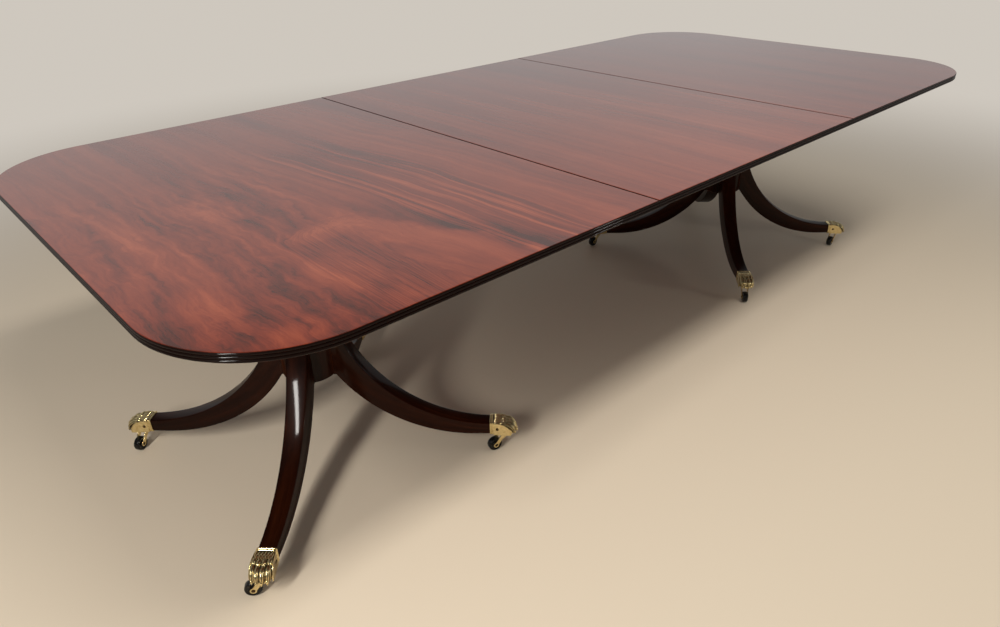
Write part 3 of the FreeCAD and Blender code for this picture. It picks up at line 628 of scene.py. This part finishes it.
along, proud, up = slotted_head()
for end in ENDS:
    heads = [shell(set_out(label, LEG_REACH + HOLE_PLACE[0] + hand * along,
                           hand * (COLLAR_HALF + HEAD_PROUD + proud), CAP_FLOOR + HOLE_PLACE[1] - up))
             for label in feet if label.startswith(end) for hand in HANDS]
    piece(end + "_slotted_cap_screws", heads, screw_metal, end + "_end", [end + "_cap_screws"])


# The castors. A brass horn swivels under each cap on its own stem: a turned crown with two waisted cheeks
# that carry a black wheel on a riveted axle. Horn and axle swivel together, and the wheel rolls on its own.

# Profiles in millimetres: the radius, and the height or the step along the axle.
CROWN_PROFILE = ((3.0, 47.4), (11.0, 47.2), (13.4, 47.8), (14.0, 49.0), (13.4, 50.3), (10.0, 50.8),
                 (7.0, 50.9), (6.8, 51.2), (5.0, 51.2), (5.0, 66.5), (4.4, 67.2))
AXLE_PROFILE = ((0.4, -12.8), (2.6, -12.7), (4.0, -12.2), (4.4, -11.5), (2.5, -11.4), (2.5, 11.4),
                (4.4, 11.5), (4.0, 12.2), (2.6, 12.7), (0.4, 12.8))
WHEEL_PROFILE = ((2.6, -8.6), (6.4, -8.6), (7.0, -8.1), (7.3, -7.0), (13.6, -7.0), (14.4, -7.7),
                 (16.2, -8.0), (17.6, -7.6), (18.6, -6.4), (19.0, -5.0), (19.0, 5.0), (18.6, 6.4),
                 (17.6, 7.6), (16.2, 8.0), (14.4, 7.7), (13.6, 7.0), (7.3, 7.0), (7.0, 8.1),
                 (6.4, 8.6), (2.6, 8.6))
CHEEK_HEAD = 0.0490
CHEEK_INSIDE = 0.009
CHEEK_THICK = 0.0025
CHEEK_ARRIS = 0.0006
# The share of the way to its middle by which a cheek's two faces are drawn in.
CHEEK_EASE = 0.03
CHEEK_HALF_WIDTHS = (8.4, 7.4, 6.0, 5.4, 5.8)
CHEEK_BOW = (0.0, 0.6, 1.2, 1.0, 0.4)
CHEEK_END = 0.86
CHEEK_POINTS = 24
EYE_RADIUS = 0.0076
EYE_POINTS = 26
WHEEL_TONES = ((0.004, 0.0037, 0.0037), (0.016, 0.015, 0.014))

wheel_black, start, feed_wheel = new_finish("black_wheel", IOR=1.33)
scuff = clouded(start, 420, 4.0, 0.65)
feed_wheel(Base_Color=start.mixed(scuff.between(0.5, 0.75), *WHEEL_TONES),
           Roughness=0.14 + scuff * 0.24,
           Normal=start.bump(0.15, 0.0003, scuff))


def cheek_outline(trail_length, axle_height):
    """The cheek seen from the side: two waisted edges either side of a bowed line from crown to axle, and a
    round eye about the axle."""
    head = np.array([0.0, CHEEK_HEAD])
    eye = np.array([trail_length, axle_height])
    share = np.linspace(0, 1, len(CHEEK_HALF_WIDTHS))[:, None] * CHEEK_END
    run = (eye - head) / np.linalg.norm(eye - head)
    side = np.array([-run[1], run[0]])
    line = flow(head + share * (eye - head) + np.array(CHEEK_BOW)[:, None] * MM * side, CHEEK_POINTS)
    half = flow(np.array(CHEEK_HALF_WIDTHS)[:, None] * MM, CHEEK_POINTS)
    first = line[-1] + side * half[-1] - eye
    last = line[-1] - side * half[-1] - eye
    opening = math.atan2(first[1], first[0])
    closing = math.atan2(last[1], last[0])
    turn = np.linspace(opening, closing - 2 * math.pi if closing > opening else closing, EYE_POINTS)
    bow = eye + EYE_RADIUS * np.stack([np.cos(turn), np.sin(turn)], axis=-1)
    return np.concatenate([line + side * half, bow, (line - side * half)[::-1]])


def round_hub(profile, hub, trail, axle_line):
    """A profile of (radius, step along the axle) in millimetres carried round the axle."""
    ring = turned(np.array(profile) * MM, 72)
    return shell(steps_from(hub, (trail, -UP, axle_line), ring[..., 0], ring[..., 1], ring[..., 2]))


joints = {joint["name"]: joint for joint in frame["joints"]}
for label in feet:
    stem = np.array(joints[label + "_swivel"]["pos_m"]) * (1, 1, 0)
    hub = np.array(joints[label + "_roll"]["pos_m"])
    axle_line = np.array(joints[label + "_roll"]["axis"])
    trail = (hub - stem) * (1, 1, 0)
    trail_length = np.linalg.norm(trail)
    trail = trail / trail_length
    crown = turned(np.array(CROWN_PROFILE) * MM, 56) + stem
    horn = [shell(crown, bright=np.full(crown.shape[:2], PLAIN_BRIGHT))]
    edge = cheek_outline(trail_length, hub[2])
    inset = np.array([CHEEK_EASE, 0, 0, CHEEK_EASE])
    stand = CHEEK_INSIDE + np.array([0, CHEEK_ARRIS, CHEEK_THICK - CHEEK_ARRIS, CHEEK_THICK])
    reach = edge[:, None, :] + (edge.mean(axis=0) - edge)[:, None, :] * inset[None, :, None]
    for hand in HANDS:
        across = hand * stand + 0 * reach[..., 0]
        points = steps_from(stem, (trail, axle_line, UP), reach[..., 0], across, reach[..., 1])
        points = points if hand < 0 else points[::-1]
        horn.append(shell(points, bright=np.full(points.shape[:2], PLAIN_BRIGHT)))
    piece(label + "_brass_horn", horn, brass, label + "_castor", [label + "_castor_horn"], crease=42)
    piece(label + "_riveted_axle", [round_hub(AXLE_PROFILE, hub, trail, axle_line)], screw_metal,
          label + "_castor", [label + "_castor_axle"])
    piece(label + "_black_wheel", [round_hub(WHEEL_PROFILE, hub, trail, axle_line)], wheel_black,
          label + "_wheel", [label + "_castor_wheel"], crease=50)


# The frame under each end. Two notched bearers are screwed up into the top, a thick block is screwed across
# them over the column, and two lopers slide through the notches. The wood is planed and left without polish.

PLAIN_TONES = ((0.060, 0.026, 0.013), (0.125, 0.056, 0.028), (0.185, 0.088, 0.044), (0.26, 0.135, 0.072))
PLAIN_STOPS = (0.32, 0.46, 0.6, 0.74)
STEEL_TONES = ((0.42, 0.41, 0.39), (0.16, 0.11, 0.08))


def plain_wood(name, along_axis):
    """Planed wood with its grain along one of the object's own axes: threads stretched along it, and saw
    marks across it."""
    made, start, feed = new_finish(name, IOR=1.45)
    ways = start.node("TexCoord", {}, {}, "Object").split()
    along = ways.pop("XYZ".index(along_axis))
    across, through = ways
    lane = across + (start.noise(along * 3, across * 5, through * 5) - 0.5) * 0.03
    bands = start.noise(along * 1.2, lane * 40, through * 40, 3.0)
    threads = start.noise(along * 9, lane * 600, through * 600, 2.0)
    saw = start.noise(along * 320, across * 12, through * 12, 1.0)
    tone = bands * 0.75 + threads * 0.3 - 0.03
    feed(Base_Color=start.node("ValToRGB", {"stops": list(zip(PLAIN_STOPS, PLAIN_TONES))}, {"Fac": tone}),
         Roughness=0.52 + threads * 0.2,
         Normal=start.bump(0.3, 0.0006, threads * 0.6 + saw * 0.4))
    return made


def dress(node, finish):
    """Gives a CAD node a better finish."""
    frame["nodes"][node].data.materials.clear()
    frame["nodes"][node].data.materials.append(finish)


cross_wood = plain_wood("planed_wood_across", "Y")
long_wood = plain_wood("planed_wood_along", "X")
steel, start, feed_steel = new_finish("plain_steel", Metallic=1.0)
rust = clouded(start, 500, 4.0, 0.6)
feed_steel(Base_Color=start.mixed(rust.between(0.45, 0.75), *STEEL_TONES), Roughness=0.3 + rust * 0.3)
for end in ENDS:
    for part in ("_outer_bearer", "_inner_bearer", "_block"):
        dress(end + part, cross_wood)
    for part in ("_front_loper", "_back_loper"):
        dress(end + part, long_wood)
    dress(end + "_bearer_screws", steel)


# The end tops. Each is a wide board of figured mahogany with two rounded corners, its grain across the
# table. Three reeds run round its edge, and the whole is French polished until it shines like a mirror.

CORNER_RADIUS = 0.245
REED_COUNT = 3
SEAM_ROUND = 0.0032
TOP_TONES = ((0.046, 0.0090, 0.0045), (0.132, 0.0200, 0.0085),
             (0.192, 0.0330, 0.0125), (0.275, 0.058, 0.022))
TOP_POLISH = (1.0, 1.5, 0.03)
EDGE_TONE = (0.006, 0.0026, 0.0018)
EDGE_START = (0.00005, 0.0006)
UNDER_TONE = (0.075, 0.026, 0.013)
table_high = np.array(cad_box[1])
top_low, top_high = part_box("left_top")
reed = (top_high.z - top_low.z) / REED_COUNT / 2


def reeded_edge(steps=10):
    """The edge in section, from the top down: half rounds one below another, as (step out, height)."""
    turn = np.linspace(math.pi / 2, -math.pi / 2, steps + 1)
    middles = [top_high.z - reed * (2 * row + 1) for row in range(REED_COUNT)]
    rows = [np.stack([reed * np.cos(turn), middle + reed * np.sin(turn)], axis=-1) for middle in middles]
    return np.concatenate([rows[0]] + [row[1:] for row in rows[1:]])


def seam_ease(steps=5):
    """How a quarter round eases the arris at a seam: steps from the seam, and how much lower the top is."""
    turn = np.linspace(0, math.pi / 2, steps + 1)
    return SEAM_ROUND * (1 - np.cos(turn)), SEAM_ROUND * (1 - np.sin(turn))


def end_outline(side, steps=36):
    """The end top's edge in plan and the way out from it: straight sides, and quarter rounds at the corners.

    It runs from the front of the seam round to its back, with close steps where the seam's arris is eased.
    """
    half = table_high[1] - CORNER_RADIUS
    middle = table_high[0] - CORNER_RADIUS
    turn = np.linspace(-math.pi / 2, 0, steps + 1)
    turn = np.concatenate([turn, turn + math.pi / 2])
    out = np.stack([np.cos(turn), np.sin(turn)], axis=-1)
    centre = np.repeat([(middle, -half), (middle, half)], steps + 1, axis=0)
    curve = centre + out * (CORNER_RADIUS - reed)
    seam = {-1: -top_high.x, 1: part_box("right_top")[0].x}[side]
    ease = seam + seam_ease()[0]
    front = np.stack([ease, np.full_like(ease, curve[0, 1])], axis=-1)
    plan = np.concatenate([front, curve, front[::-1] * (1, -1)])
    ways = np.concatenate([0 * front + (0, -1), out, 0 * front + (0, 1)])
    return plan * (side, 1), ways * (side, 1)


def end_top(side):
    """A board: its edge's section carried round its outline, with flat faces above, below and at the seam."""
    plan, ways = end_outline(side)
    section = reeded_edge()
    drop = seam_ease()[1]
    lower = np.zeros(len(plan))
    lower[:len(drop)] = drop
    lower[-len(drop):] = drop[::-1]
    flat = plan[:, None, :] + ways[:, None, :] * section[None, :, :1]
    height = np.minimum(section[None, :, 1], top_high.z - lower[:, None])
    points = np.concatenate([flat, height[..., None]], axis=-1)
    made = shell(points, closed=False, ends=False, grain=points[..., [1, 0, 2]])
    rows, columns = points.shape[:2]
    index = np.arange(rows * columns).reshape(rows, columns)
    eased = len(drop) - 1
    head = index[eased:rows - eased, :1].T
    foot = index[::-1, -1:].T
    strip = np.stack([index[:eased, 0], index[1:eased + 1, 0],
                      index[::-1][1:eased + 1, 0], index[::-1][:eased, 0]], axis=-1)
    seam = np.concatenate([index[0, ::-1], index[-1]])[None, :]
    made["faces"] = [made["faces"][0][:, ::-1], head, foot, strip, seam]
    if side < 0:
        made["faces"] = [group[:, ::-1] for group in made["faces"]]
    return made


def edge_and_underside(start, through, stripes, colour, roughness, coat):
    """A board's border: below its face the edge is dark with little polish, and the underside is bare."""
    up = start.node("NewGeometry", {}, {}, "Normal").split()[2]
    down = up.between(-0.6, -0.9)
    bare = start.mixed(stripes + 0.5, UNDER_TONE, TOP_TONES[2])
    edge = through.between(top_high.z - EDGE_START[0], top_high.z - EDGE_START[1])
    colour = start.mixed(edge, colour, EDGE_TONE)
    return start.mixed(down, colour, bare), roughness + down * 0.3, coat - edge * 0.82 - down * 0.1


def board_finish(name, contrast, wander, shift, figure=None):
    """Polished mahogany with a dark edge."""
    return mahogany(name, TOP_TONES, contrast, wander, TOP_POLISH, shift, figure, edge_and_underside)


# Places on the left board, in metres. A flame has its middle across and along the grain, and half its width
# and length.
BUNDLE_MIDDLE = -0.775
BUNDLE_LEAN = 0.08
LIMB_HEAD = (-0.93, -0.26)
LIMB_WAY = (0.33, -0.944)
SHOULDER = -0.265
FLAMES = ((-1.09, -0.49, 0.10, 0.11), (-1.32, -0.47, 0.06, 0.14), (-1.06, -0.625, 0.03, 0.06),
          (-1.10, -0.04, 0.06, 0.12), (-1.25, -0.61, 0.12, 0.045), (-1.02, -0.31, 0.07, 0.05))


def flame_figure(start, along, across, lane):
    """The figure of the left board: a bundle of long pale streaks, the shoulder of a fork, and flames, with
    painted shade darkening the front end of the corner.

    The bundle follows a leaning line, and fades with the square of the distance from it. The shoulder is a
    smooth corner between a line across the board and a limb to the front, with a pale crest inside and a
    dark hollow beyond the limb. Each flame is an oval that falls off with the square of the distance. Noise
    ruffles them all.
    """
    ruffle = start.noise(along * 6, across * 8, 2.0, 4.0, 0.6) - 0.5
    leaning = lane + along * BUNDLE_LEAN
    beside = leaning - BUNDLE_MIDDLE
    bundle = (beside * beside).between(0.018, 0.004) * along.between(0.34, 0.10)
    streaks = start.noise(along * 0.9, leaning * 52, 4.0, 3.0, 0.58).between(0.48, 0.68) * 0.42 - 0.15
    beyond = (across - LIMB_HEAD[0]) * -LIMB_WAY[1] + (along - LIMB_HEAD[1]) * LIMB_WAY[0] + ruffle * 0.12
    behind = along - SHOULDER + ruffle * 0.22
    inside = start.node("Math", {"operation": "SMOOTH_MIN"}, {0: 0 - beyond, 1: 0 - behind, 2: 0.12})
    crest = inside.between(-0.03, 0.012) * inside.between(0.085, 0.02) * across.between(-1.10, -0.96)
    hollow = beyond.between(0.0, 0.025) * beyond.between(0.10, 0.04) * behind.between(0.10, -0.06)
    corner = across.between(-0.84, -0.98) * along.between(0.34, 0.05)
    glow = 0.0
    for x, y, half_width, half_length in FLAMES:
        aside = (across - x) * (1 / half_width)
        ahead = (along - y) * (1 / half_length)
        glow = glow + (1 - aside * aside - ahead * ahead + ruffle * 2.6).between(0.0, 1.2)
    swirl = inside.between(-0.02, 0.04) * across.between(-1.12, -0.96)
    curl = start.node("Mix", {"data_type": "FLOAT"}, {0: swirl, 2: lane, 3: inside})
    wisps = start.noise(along * 5 + ruffle * 2.5, curl * 38 + ruffle * 4.0, 6.0, 4.0, 0.62) - 0.5
    # Painted shade: the front end of the board's left corner is painted darker.
    painted_front_shade = along.between(-0.28, -0.52) * across.between(-0.98, -1.14)
    flames = (glow * 0.20 - 0.02 - painted_front_shade * 0.15 + wisps * 0.80) * corner
    return leaning + ruffle * 0.04, streaks * bundle + crest * 0.13 - hollow * 0.16 + flames


left_polish = board_finish("figured_mahogany", contrast=0.55, wander=0.08, shift=3.1, figure=flame_figure)
right_polish = board_finish("striped_mahogany", contrast=0.45, wander=0.05, shift=7.7)
for end, side, finish in (("left", -1, left_polish), ("right", 1, right_polish)):
    piece(end + "_polished_top", [end_top(side)], finish, end + "_end",
          [end + "_top"], crease=45)


# The leaf. A loose board of the same mahogany lies between the ends, reeded on its two long sides only.
# Plain dowels in its joint edges line it up with them.


def painted_front_sheen(start, along, across, lane):
    """The figure of the leaf: plain stripes, with a painted sheen that makes it a little paler towards the
    front.
    """
    # Painted sheen: the leaf is painted paler towards its front.
    return lane, along.between(0.2, -0.6) * 0.07


leaf_polish = board_finish("leaf_mahogany", contrast=0.48, wander=0.04, shift=5.2, figure=painted_front_sheen)
leaf_low, leaf_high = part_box("leaf")
section = reeded_edge()
brink = leaf_high.y - reed
ring = np.concatenate([np.stack([brink + section[:, 0], section[:, 1]], axis=-1),
                       np.stack([-brink - section[:, 0], section[:, 1]], axis=-1)[::-1]])[::-1]
step, drop = seam_ease()
station = np.concatenate([leaf_low.x + step, (leaf_high.x - step)[::-1]])
lower = np.concatenate([drop, drop[::-1]])
points = np.stack([station + 0 * ring[:, :1], ring[:, :1] + 0 * station,
                   np.minimum(ring[:, 1:], leaf_high.z - lower)], axis=-1)
piece("polished_leaf", [shell(points, grain=points[..., [1, 0, 2]])], leaf_polish, "leaf",
      ["leaf"], crease=45)
dress("leaf_dowels", long_wood)


# The studio. A plain pale floor goes over into a pale backdrop, and the polish mirrors a pale surround. A
# soft lamp hangs above the front of the table, a tall one stands to the left of the camera, and a small one
# at the right, below the level of the top. The camera stands where the photograph was taken.

FLOOR_SIZE = 40.0
FLOOR_COLOUR = (0.68, 0.58, 0.45)
BACKDROP_COLOUR = (0.62, 0.575, 0.515)
BACKDROP_START = 1.5
BACKDROP_FULL = 4.6
SURROUND = 0.60
SURROUND_COLOUR = (1.0, 0.995, 0.985)
NEAR_SURROUND = 0.08
FAR_WAY = (0.672, 0.740, 0.5)
FAR_FADE = (-0.35, 0.45)
HIGH_FADE = (0.60, 0.40)
SIDE_FADE = (0.26, 0.50)
SIDE_SHADE = 0.16
AMBIENT = 0.21
AMBIENT_COLOUR = (1.0, 0.985, 0.96)
LAMP_COLOUR = (1.0, 0.97, 0.92)
CAMERA_PLACE = (-1.64506, -1.49580, 1.28585)
CAMERA_YAW = 42.257
CAMERA_PITCH = 29.426
CAMERA_ROLL = -1.245
FOCAL_PIXELS = 735.42
IMAGE_WIDTH = 1000
SENSOR = 36.0


def looked_at(start):
    """1 for what the camera sees, straight or in polish, metal or glass."""
    camera, glossy, transmission = [start.node("LightPath", {}, {}, "Is %s Ray" % kind)
                                    for kind in ("Camera", "Glossy", "Transmission")]
    return start.math("MAXIMUM", start.math("MAXIMUM", camera, glossy), transmission)


edge = np.array([-0.5, 0.5]) * FLOOR_SIZE
flat = np.stack(np.meshgrid(edge, edge, indexing="ij") + [np.zeros((2, 2))], axis=-1)
floor_mesh = bpy.data.meshes.new("studio_floor")
floor_mesh.from_pydata(flat.reshape(-1, 3), [], [(0, 2, 3, 1)])
floor = bpy.data.objects.new("studio_floor", floor_mesh)
bpy.context.scene.collection.objects.link(floor)
floor_finish, start, feed_floor = new_finish("pale_floor", Roughness=0.6, IOR=1.4)
feed_floor(Base_Color=(*FLOOR_COLOUR, 1))
floor_nodes = floor_finish.node_tree.nodes
x, y, z = start.node("TexCoord", {}, {}, "Object").split()
distance = start.math("SQRT", x * x + y * y)
surface = Socket(floor_finish.node_tree, floor_nodes["Principled BSDF"].outputs[0])
backdrop = start.node("Emission", {}, {"Color": (*BACKDROP_COLOUR, 1), "Strength": 1.0})
fading = distance.between(BACKDROP_START, BACKDROP_FULL) * looked_at(start)
surface = start.node("MixShader", {}, {0: fading, 1: surface, 2: backdrop})
from_below = start.node("NewGeometry", {}, {}, "Backfacing")
clear = start.node("BsdfTransparent", {}, {})
start.feed(floor_nodes["Material Output"].inputs["Surface"],
           start.node("MixShader", {}, {0: from_below, 1: surface, 2: clear}))
floor_mesh.materials.append(floor_finish)


def all_round(start, colour, strength):
    """Light of one colour from all around."""
    return start.node("Background", {}, {"Color": (*colour, 1), "Strength": strength})


world = bpy.data.worlds.new("studio")
bpy.context.scene.world = world
world.use_nodes = True
tree = world.node_tree
tree.nodes.clear()
start = Socket(tree)
x, y, z = start.node("TexCoord", {}, {}, "Generated").split()
ahead = (x * FAR_WAY[0] + y * FAR_WAY[1] + z * FAR_WAY[2]).between(*FAR_FADE) * z.between(*HIGH_FADE)
aside = (x * FAR_WAY[1] - y * FAR_WAY[0]).between(*SIDE_FADE)
glow = NEAR_SURROUND + ahead * (1 - aside * SIDE_SHADE) * (SURROUND - NEAR_SURROUND)
camera_ray = start.node("LightPath", {}, {}, "Is Camera Ray")
mirrored = all_round(start, SURROUND_COLOUR, glow)
seen = all_round(start, BACKDROP_COLOUR, 1.0)
surround = start.node("MixShader", {}, {0: camera_ray, 1: mirrored, 2: seen})
ambient = all_round(start, AMBIENT_COLOUR, AMBIENT)
both = start.node("MixShader", {}, {0: looked_at(start), 1: ambient, 2: surround})
start.feed(tree.nodes.new("ShaderNodeOutputWorld").inputs["Surface"], both)


def lamp(name, place, target, size, power):
    """A soft oblong lamp that faces a target. It doesn't show in the picture itself."""
    light = bpy.data.lights.new(name, "AREA")
    light.shape = "RECTANGLE"
    light.size, light.size_y = size
    light.energy = power
    light.color = LAMP_COLOUR
    made = bpy.data.objects.new(name, light)
    bpy.context.scene.collection.objects.link(made)
    made.location = place
    made.visible_camera = False
    made.rotation_mode = "QUATERNION"
    aim = np.array(target) - np.array(place)
    made.rotation_quaternion = Vector(aim).to_track_quat("-Z", "Y")
    return made


upper_lamp = lamp("upper_lamp", (-0.2, -1.65, 3.2), (-0.1, -0.1, 0.5), (2.2, 0.45), 67)
upper_lamp.visible_glossy = False
lamp("right_lamp", (1.5, -2.7, 0.6), (-0.4, -0.2, 0.1), (0.18, 0.18), 8)
lamp("left_lamp", (-3.13, -1.06, 2.05), (-1.05, -0.10, 0.28), (0.20, 1.5), 68)

yaw, pitch, roll = [math.radians(angle) for angle in (CAMERA_YAW, CAMERA_PITCH, CAMERA_ROLL)]
forward = np.array([math.sin(yaw) * math.cos(pitch), math.cos(yaw) * math.cos(pitch), -math.sin(pitch)])
level = np.array([math.cos(yaw), -math.sin(yaw), 0])
upward = np.cross(level, forward)
right = level * math.cos(roll) + upward * math.sin(roll)
above = upward * math.cos(roll) - level * math.sin(roll)
camera_data = bpy.data.cameras.new("photo_camera")
camera_data.sensor_fit = "HORIZONTAL"
camera_data.sensor_width = SENSOR
camera_data.lens = FOCAL_PIXELS / IMAGE_WIDTH * SENSOR
camera = bpy.data.objects.new("photo_camera", camera_data)
bpy.context.scene.collection.objects.link(camera)
turn = Matrix((right, above, -forward)).transposed().to_4x4()
camera.matrix_world = Matrix.Translation(CAMERA_PLACE) @ turn
bpy.context.scene.camera = camera
bpy.context.scene.view_settings.view_transform = "Standard"
